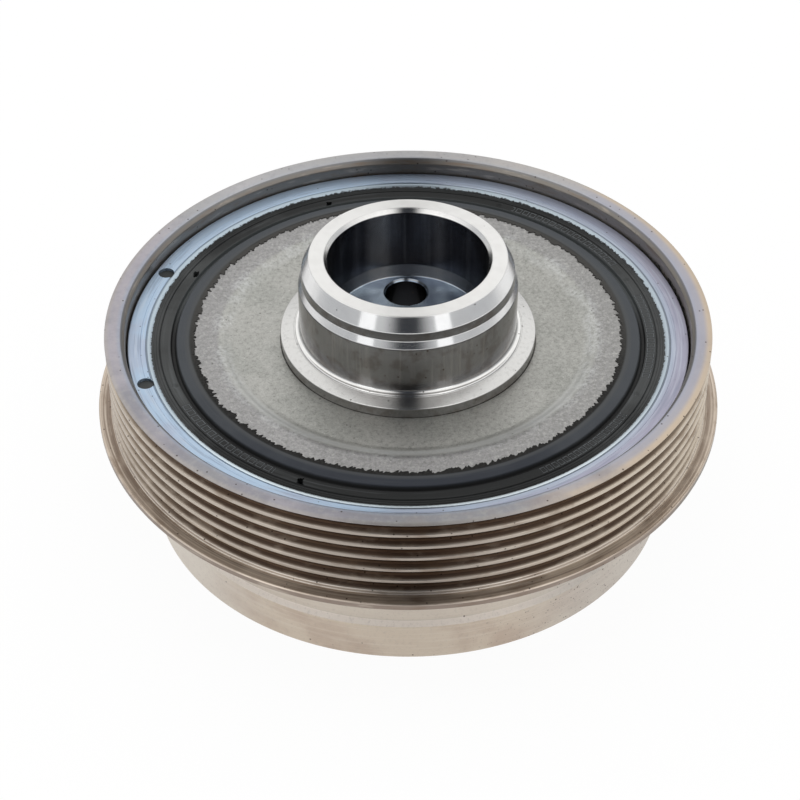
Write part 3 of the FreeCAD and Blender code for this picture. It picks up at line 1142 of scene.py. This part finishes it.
def zincPlate():
    s = ringFinish
    f = Finish("zincPlate", turnedShader)
    lines = f.turning(0.16)
    cloud = f.noise(0.07, 3.0, shift=5.0)
    ragged = f.noise(1.3, 4.0, 0.7, shift=3.0)
    base = f.mix(f.rise(f.right + cloud * 0.6, 0.0, 1.0), s["blue"], s["violet"])
    base = f.coat(base, f.rise(cloud, 0.5, 0.62), *s["violetClouds"])
    base = f.coat(base, f.fall(f.radius, *s["face"]) * f.rise(f.right, -0.2, 0.4), *s["innerBlue"])
    base = f.coat(base, f.rise(f.swept(0.45, 0.25, 4.0, 6.0), 0.48, 0.64), *s["paleStreaks"])
    base = f.coat(base, f.rise(f.swept(0.4, 0.2, 4.0, 9.0), 0.52, 0.66), *s["darkStreaks"])
    edge = f.fall(f.radius + ragged * 0.5, *s["innerEdge"])
    # the inner edge is painted paler, palest at the front: a painted highlight
    base = f.coat(base, edge, 0.75, f.mix(f.rise(f.back, -0.3, -0.9), s["edge"], s["edgeFrontHighlight"]))
    # the outer face is painted darker behind the axis, beside the pulley's wall: painted shade
    base = f.coat(base, f.rise(f.back, 0.3, 0.8) * f.rise(f.radius, *s["outerFace"]), *s["backLightAndShade"])
    base = f.coat(base, f.band(f.radius, *s["groove"]), *s["grooveTint"])
    film = f.fall(f.radius + ragged * 1.6, *s["film"])
    base = f.coat(base, film, *s["filmTint"])
    base = f.coat(base, f.specks(3.0, 0.45, 7.0), *s["specks"])
    rough = 0.28 + lines * 0.12 + film * 0.3
    relief = lines + edge * ragged * 3
    return f.wear(Base_Color=base, Roughness=rough, Metallic=1 - film, Normal=f.bump(relief, 0.2, 0.03))


pulleyFinish = {
    "below": (51.3, 51.6),
    "landStart": (71.3, 72.6),
    "landEnd": (73.6, 74.9),
    "giltLand": (72.9, 74.5),
    "crests": (74.4, 75.0),
    "wall": (71.4, 71.5),
    "flank": (73.3, 73.8, 0.15),
    "mouth": (71.15, 71.3),
    "mouthFoot": (38.0, 40.0),
    "gapShade": (48.1, 48.5),
    "lip": (78.0, 78.3),
    "lipHeight": (28.3, 30.1, 0.15),
    "shelf": (75.2, 75.4),
    "shelfHeight": (29.9, 30.6, 0.1),
    "shelfLightRamp": (75.6, 78.2),
    "lastCrest": (74.95, 75.2, 0.05),
    "lastCrestHeight": (30.2, 31.1, 0.1),
    "tarnish": [  # the stops of a ramp
        (0.15, (0.40, 0.38, 0.42)),
        (0.32, (0.295, 0.29, 0.325)),
        (0.5, (0.315, 0.315, 0.335)),
        (0.62, (0.34, 0.31, 0.31)),
        (0.8, (0.43, 0.38, 0.35)),
        (1.0, (0.50, 0.44, 0.36)),
    ],
    "innerTint": (0.6, (0.31, 0.36, 0.45)),
    "outerTint": (0.4, (0.46, 0.42, 0.37)),
    "backLightAndShade": (0.6, (0.55, 0.55, 0.555)),
    "paleMottle": (0.2, (0.50, 0.49, 0.46)),
    "darkMottle": (0.15, (0.22, 0.215, 0.23)),
    "innerGilt": (0.38, 0.39, 0.47),
    "outerGilt": (0.60, 0.49, 0.37),
    "crestFrontShade": (0.44, 0.385, 0.33),
    "crestSideLight": (0.60, 0.53, 0.45),
    "crestRight": (0.6, (0.70, 0.62, 0.51)),
    "root": (0.14, 0.098, 0.074),
    "flankTint": (0.30, 0.215, 0.158),
    "flankSideLight": (0.6, (0.42, 0.36, 0.29)),
    "mouthTint": (0.75, (0.16, 0.155, 0.15)),
    "gapShadeTint": (1.0, (0.01, 0.01, 0.01)),
    "lipTint": (0.28, 0.225, 0.19),
    "lipRightShade": (0.18, 0.15, 0.125),
    "shelfTint": (0.30, 0.24, 0.195),
    "shelfWornAndLit": (0.78, 0.68, 0.58),
    "shelfScratches": (0.55, (0.80, 0.72, 0.62)),
    "shelfDirt": (0.55, (0.19, 0.14, 0.11)),
    "lastCrestHighlight": (0.8, (0.80, 0.74, 0.68)),
    "darkStains": (0.5, (0.22, 0.155, 0.11)),
    "paleStains": (0.35, (0.66, 0.58, 0.49)),
    "specks": (0.85, (0.05, 0.035, 0.03)),
}


def turnedPulleySteel():
    s = pulleyFinish
    f = Finish("turnedPulleySteel", turnedShader)
    lines = f.turning(0.14)
    cloud = f.noise(0.05, 3.0, shift=15.0)
    mottle = f.noise(0.55, 4.0, 0.7, shift=51.0)
    below = f.fall(f.z, *s["below"])

    # the land on top of the rim, tarnished in patches, and gilt towards the right
    along = 0.5 + f.right * 0.32 + (cloud - 0.5) * 1.1
    land = f.node("ShaderNodeValToRGB", {"stops": s["tarnish"]}, {"Fac": along})
    land = f.coat(land, f.fall(f.radius, *s["landStart"]), *s["innerTint"])
    land = f.coat(land, f.rise(f.radius, *s["landEnd"]), *s["outerTint"])
    # the land is painted paler behind the axis: painted light
    land = f.coat(land, f.rise(f.back, 0.3, 0.85), *s["backLightAndShade"])
    land = f.coat(land, f.rise(mottle, 0.5, 0.66), *s["paleMottle"])
    land = f.coat(land, f.rise(mottle, 0.5, 0.36), *s["darkMottle"])
    gilt = f.mix(f.rise(f.radius, *s["giltLand"]), s["innerGilt"], s["outerGilt"])
    land = f.coat(land, f.rise(f.right + (cloud - 0.5), 0.45, 0.9), 0.7, gilt)

    # the crests, painted darker at the front and lighter at the sides for painted shade and light, and the
    # grooves between them
    crests = f.mix(f.rise(f.side, 0.25, 0.7), s["crestFrontShade"], s["crestSideLight"])
    crests = f.coat(crests, f.rise(f.right, 0.1, 0.6), *s["crestRight"])
    base = f.coat(land, below, 0.85, crests)
    # the grooves are painted dark towards their roots for oil and painted shade, and lighter on their
    # flanks at the sides: painted light
    groove = f.fall(f.radius, *s["crests"]) * f.rise(f.radius, *s["wall"]) * below
    flank = f.mix(f.band(f.radius, *s["flank"]), s["root"], s["flankTint"])
    flank = f.coat(flank, f.rise(f.side, 0.6, 0.95), *s["flankSideLight"])
    base = f.coat(base, groove, 0.95, flank)

    # the mouth, with patches of painted shadow low on its right, along the gap above the ring
    mouth = f.fall(f.radius, *s["mouth"]) * f.rise(f.z, *s["mouthFoot"])
    base = f.coat(base, mouth, *s["mouthTint"])
    gapShade = f.fall(f.z, *s["gapShade"]) * f.rise(f.right, 0.85, 0.95) * mouth
    gapShadePatches = f.rise(f.noise(0.9, 4.0, 0.7, shift=33.0), 0.5, 0.56)
    base = f.coat(base, gapShade * gapShadePatches, *s["gapShadeTint"])

    # the lip's edge, the shelf on top of it, and the last crest above the shelf
    lip = f.band(f.z, *s["lipHeight"]) * f.rise(f.radius, *s["lip"])
    # the lip's edge is painted darker at the far right: painted shade
    base = f.coat(base, lip, 0.95, f.mix(f.rise(f.right, 0.7, 0.9), s["lipTint"], s["lipRightShade"]))
    shelf = f.band(f.z, *s["shelfHeight"]) * f.rise(f.radius, *s["shelf"])
    patches = f.rise(f.noise(0.05, 2.0, shift=41.0), 0.45, 0.6) * 0.4
    # the shelf is painted paler outward, away from the crest above it, for painted light, and in patches
    # for wear
    wornAndLit = f.rise(f.radius, *s["shelfLightRamp"]) * 0.6 + patches
    base = f.mix(shelf, base, f.mix(wornAndLit, s["shelfTint"], s["shelfWornAndLit"]))
    fine = f.swept(0.35, 0.9, 3.0, 44.0)
    base = f.coat(base, f.rise(fine, 0.5, 0.66) * shelf, *s["shelfScratches"])
    base = f.coat(base, f.rise(fine, 0.5, 0.36) * shelf, *s["shelfDirt"])
    lastCrest = f.band(f.radius, *s["lastCrest"]) * f.band(f.z, *s["lastCrestHeight"])
    # the last crest is painted paler: a painted highlight
    base = f.coat(base, lastCrest, *s["lastCrestHighlight"])

    stains = f.swept(1.6, 0.12, 4.0, 12.0)
    base = f.coat(base, f.rise(stains, 0.52, 0.7) * below, *s["darkStains"])
    base = f.coat(base, f.rise(stains, 0.46, 0.3) * below, *s["paleStains"])
    base = f.coat(base, f.specks(2.4, 0.5, 9.0), *s["specks"])
    rough = 0.28 + lines * 0.12
    return f.wear(Base_Color=base, Roughness=rough, Normal=f.bump(lines, 0.15, 0.015))


ironFinish = {
    "skirtTop": (10.3, 10.6),
    "shoulder": (65.3, 65.5),
    "shoulderHeight": (10.4, 11.6, 0.1),
    "pitTop": (9.5, 10.5),
    "iron": (0.62, 0.535, 0.44),
    "darkIron": (0.53, 0.43, 0.35),
    "left": (0.7, (0.72, 0.68, 0.62)),
    "upper": (0.7, (0.66, 0.60, 0.53)),
    "shoulderHighlight": (0.95, (0.95, 0.87, 0.79)),
    "right": (0.6, (0.58, 0.555, 0.52)),
    "pits": (0.85, (0.11, 0.085, 0.075)),
    "specks": (0.8, (0.08, 0.05, 0.04)),
    "pores": (0.25, (0.3, 0.26, 0.24)),
    "streaks": (0.2, (0.75, 0.70, 0.63)),
}


def turnedIron():
    s = ironFinish
    f = Finish("turnedIron", {"Metallic": 0.85, "Anisotropic": 0.6, "Anisotropic Rotation": 0.25})
    lines = f.turning(0.2)
    blotch = f.swept(9.0, 0.22, 4.0, shift=3.0)
    fine = f.noise(1.2, 4.0, 0.7, shift=21.0)
    base = f.mix(f.rise(blotch, 0.4, 0.64), s["iron"], s["darkIron"])
    base = f.coat(base, f.rise(f.right, -0.45, -0.8), *s["left"])
    base = f.coat(base, f.rise(f.z, *s["skirtTop"]), *s["upper"])
    shoulder = f.band(f.z, *s["shoulderHeight"]) * f.rise(f.radius, *s["shoulder"])
    # the shoulder is painted near-white and less metallic: a painted highlight
    base = f.coat(base, shoulder, *s["shoulderHighlight"])
    base = f.coat(base, f.rise(f.right, 0.3, 0.7), *s["right"])
    pits = f.maximum(f.specks(1.3, 0.4, 13.0), f.specks(0.8, 0.24, 19.0))
    base = f.coat(base, pits * (f.rise(f.right, 0.0, 0.6) * f.fall(f.z, *s["pitTop"])), *s["pits"])
    base = f.coat(base, f.specks(4.0, 0.55, 11.0), *s["specks"])
    base = f.coat(base, f.rise(fine, 0.5, 0.75), *s["pores"])
    base = f.coat(base, f.rise(f.swept(0.5, 0.5, 2.0, 30.0), 0.5, 0.7), *s["streaks"])
    return f.wear(Base_Color=base, Roughness=0.42 + lines * 0.1, Metallic=0.85 - shoulder * 0.75,
                  Normal=f.bump(lines, 0.15, 0.03))


bushFinish = {"dark": (0.02, 0.018, 0.017), "pale": (0.045, 0.04, 0.036)}


def bushPlastic():
    f = Finish("bushPlastic", {"Metallic": 0.0})
    grain = f.noise(2.0, 3.0)
    base = f.mix(grain, bushFinish["dark"], bushFinish["pale"])
    return f.wear(Base_Color=base, Roughness=0.4 + grain * 0.15, Normal=f.bump(grain, 0.2, 0.03))


bondedFinish = {"dark": (0.012, 0.012, 0.012), "pale": (0.032, 0.032, 0.032)}


def bondedRubber():
    f = Finish("bondedRubber", {"Metallic": 0.0})
    grain = f.noise(3.0, 3.0)
    base = f.mix(grain, bondedFinish["dark"], bondedFinish["pale"])
    return f.wear(Base_Color=base, Roughness=0.55 + grain * 0.2, Normal=f.bump(grain, 0.3, 0.05))


lightWorld()
lightPanels()
layFloor()
makeHub(machinedSteel())
makePlate(blastedSteel())
makeRubber(mouldedRubber())
makeRing(zincPlate())
makePulley(turnedPulleySteel())
makeInertiaRing(turnedIron())
dress(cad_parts["guide_bush"], bushPlastic())
dress(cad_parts["damper_rubber"], bondedRubber())

bpy.context.scene.view_settings.view_transform = "Standard"
print("scene ready")
